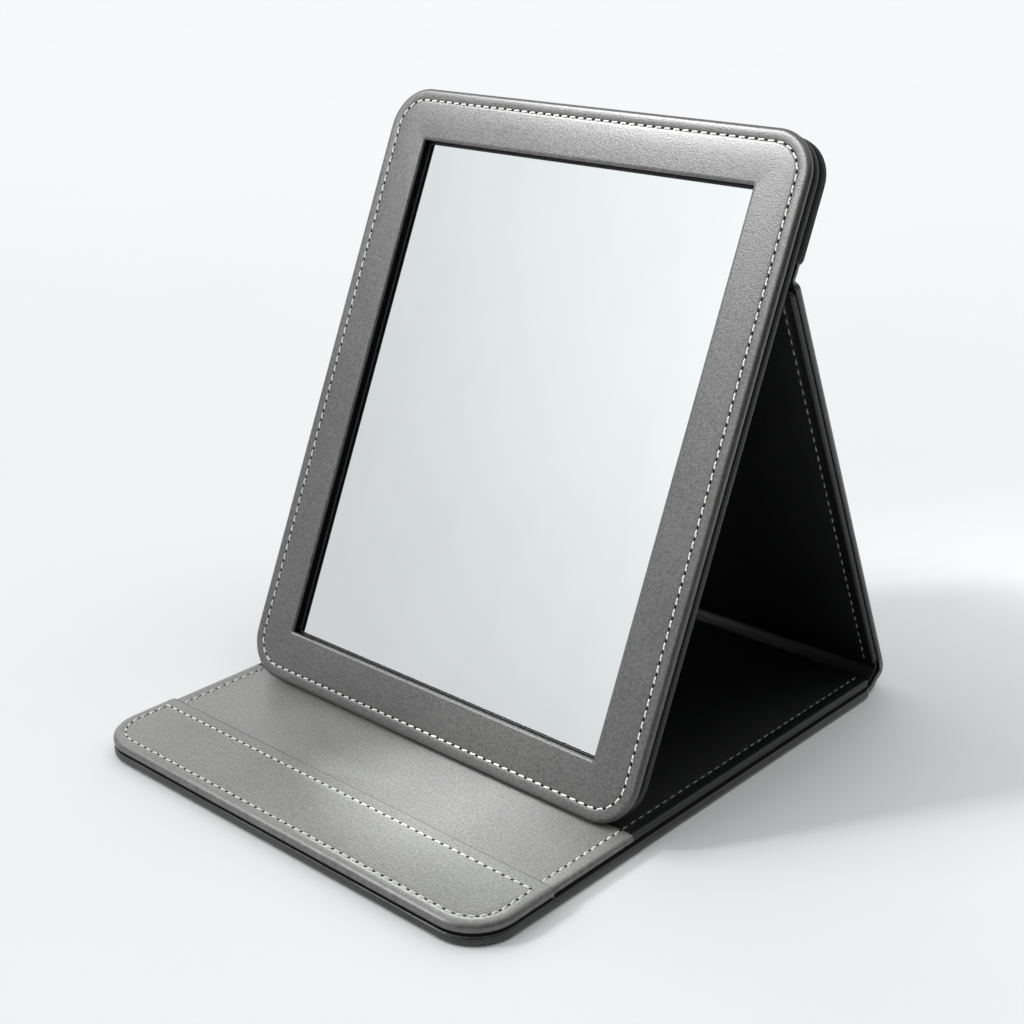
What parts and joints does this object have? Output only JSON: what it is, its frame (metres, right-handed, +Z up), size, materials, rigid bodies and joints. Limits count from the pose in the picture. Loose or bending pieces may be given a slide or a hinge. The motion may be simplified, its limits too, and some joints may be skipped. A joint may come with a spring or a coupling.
{
  "type": "folding tabletop mirror",
  "caption": "Folding tabletop mirror: recessed glass in a stitched leather-look frame, propped on a hinged cover that forms a rear leg and a flat base with a raised front strip.",
  "frame": {"origin": "middle of the footprint on the underside of the base", "axes": "+X to the right, +Y from the front strip towards the spine, +Z up"},
  "size_m": [0.1824, 0.2234, 0.2121],
  "materials": {
    "cover_leather": "fine grain, satin",
    "grey_leather": "fine brushed grain, satin",
    "black_lining": "fine grain, matt",
    "slate_leather": "fine grain, satin",
    "greyboard": "pressed grey board",
    "thread": "twisted polyester thread",
    "steel": "plain",
    "magnet": "plated",
    "liner": "matt black",
    "mirror": "silvered sheet",
    "tape": "foam bonding tape"
  },
  "bodies": {
    "base": {"base_outer_leather": "cover_leather", "base_outer_board": "greyboard", "base_inner_board": "greyboard", "base_front_lining": "grey_leather", "base_rear_lining": "black_lining", "front_strip_leather": "grey_leather", "strip_keepers": "steel", "base_stitching": "thread", "strip_stitching": "thread"},
    "spine": {"spine_leather": "cover_leather", "spine_lining": "black_lining"},
    "leg": {"leg_outer_leather": "cover_leather", "leg_outer_board": "greyboard", "leg_inner_leather": "black_lining", "leg_inner_board": "greyboard", "leg_stitching": "thread"},
    "upper_hinge": {"upper_hinge_leather": "cover_leather"},
    "mirror": {"frame_leather": "grey_leather", "frame_board": "greyboard", "frame_stitching": "thread", "frame_magnets": "magnet", "window_liner": "liner", "mirror_glass": "mirror", "glass_tape": "tape", "glass_carrier": "greyboard", "back_board": "greyboard", "back_leather": "slate_leather", "cover_panel_board": "greyboard", "cover_panel_leather": "cover_leather"}
  },
  "joints": [
    {"name": "spine_fold", "type": "hinge", "parent": "base", "child": "spine", "pos_m": [0, 0.1036, 0.0032], "axis": [-1, 0, 0], "range_deg": [0, 40]},
    {"name": "leg_tilt", "type": "hinge", "parent": "spine", "child": "leg", "pos_m": [0, 0.1106, 0.00874], "axis": [-1, 0, 0], "range_deg": [-6.3, 5.3]},
    {"name": "prop_spread", "type": "hinge", "parent": "leg", "child": "upper_hinge", "pos_m": [0, 0.03624, 0.1682], "axis": [-1, 0, 0], "range_deg": [-10, 12]},
    {"name": "mirror_lift", "type": "hinge", "parent": "upper_hinge", "child": "mirror", "pos_m": [0, 0.03766, 0.17118], "axis": [-1, 0, 0], "range_deg": [0, 90]}
  ],
  "couplings": [
    {"joint": "leg_tilt", "follows": "prop_spread", "ratio": -0.5}
  ]
}
